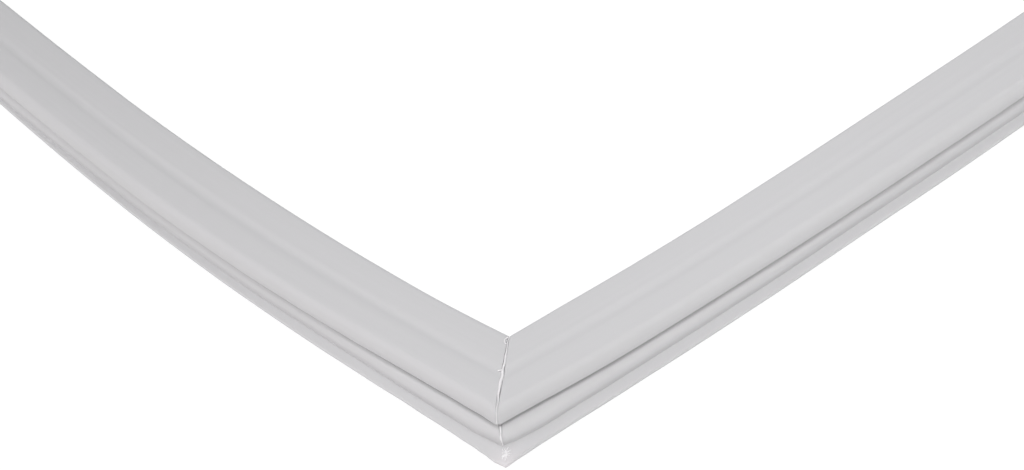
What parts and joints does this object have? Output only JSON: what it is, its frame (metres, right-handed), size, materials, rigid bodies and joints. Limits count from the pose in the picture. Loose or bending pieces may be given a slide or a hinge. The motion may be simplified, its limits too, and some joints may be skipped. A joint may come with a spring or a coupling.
{
  "type": "refrigerator door gasket",
  "caption": "Closed rectangular door seal of soft hollow profile with welded mitred corners, a push-in dart along its back and flexible magnets inside its sealing face.",
  "frame": {"origin": "middle of the frame, on the plane that the dart rests on", "axes": "+Z from the dart to the sealing face; +X along the long sides; +Y along the short sides"},
  "size_m": [0.6994, 0.61, 0.018],
  "materials": {
    "soft_vinyl": "matte light grey soft PVC with faint extrusion lines",
    "ferrite_rubber": "matte dark brown ferrite-filled rubber"
  },
  "bodies": {
    "root": {"door_gasket": "soft_vinyl", "magnet_strip_front": "ferrite_rubber", "magnet_strip_right": "ferrite_rubber", "magnet_strip_back": "ferrite_rubber", "magnet_strip_left": "ferrite_rubber"}
  },
  "joints": []
}
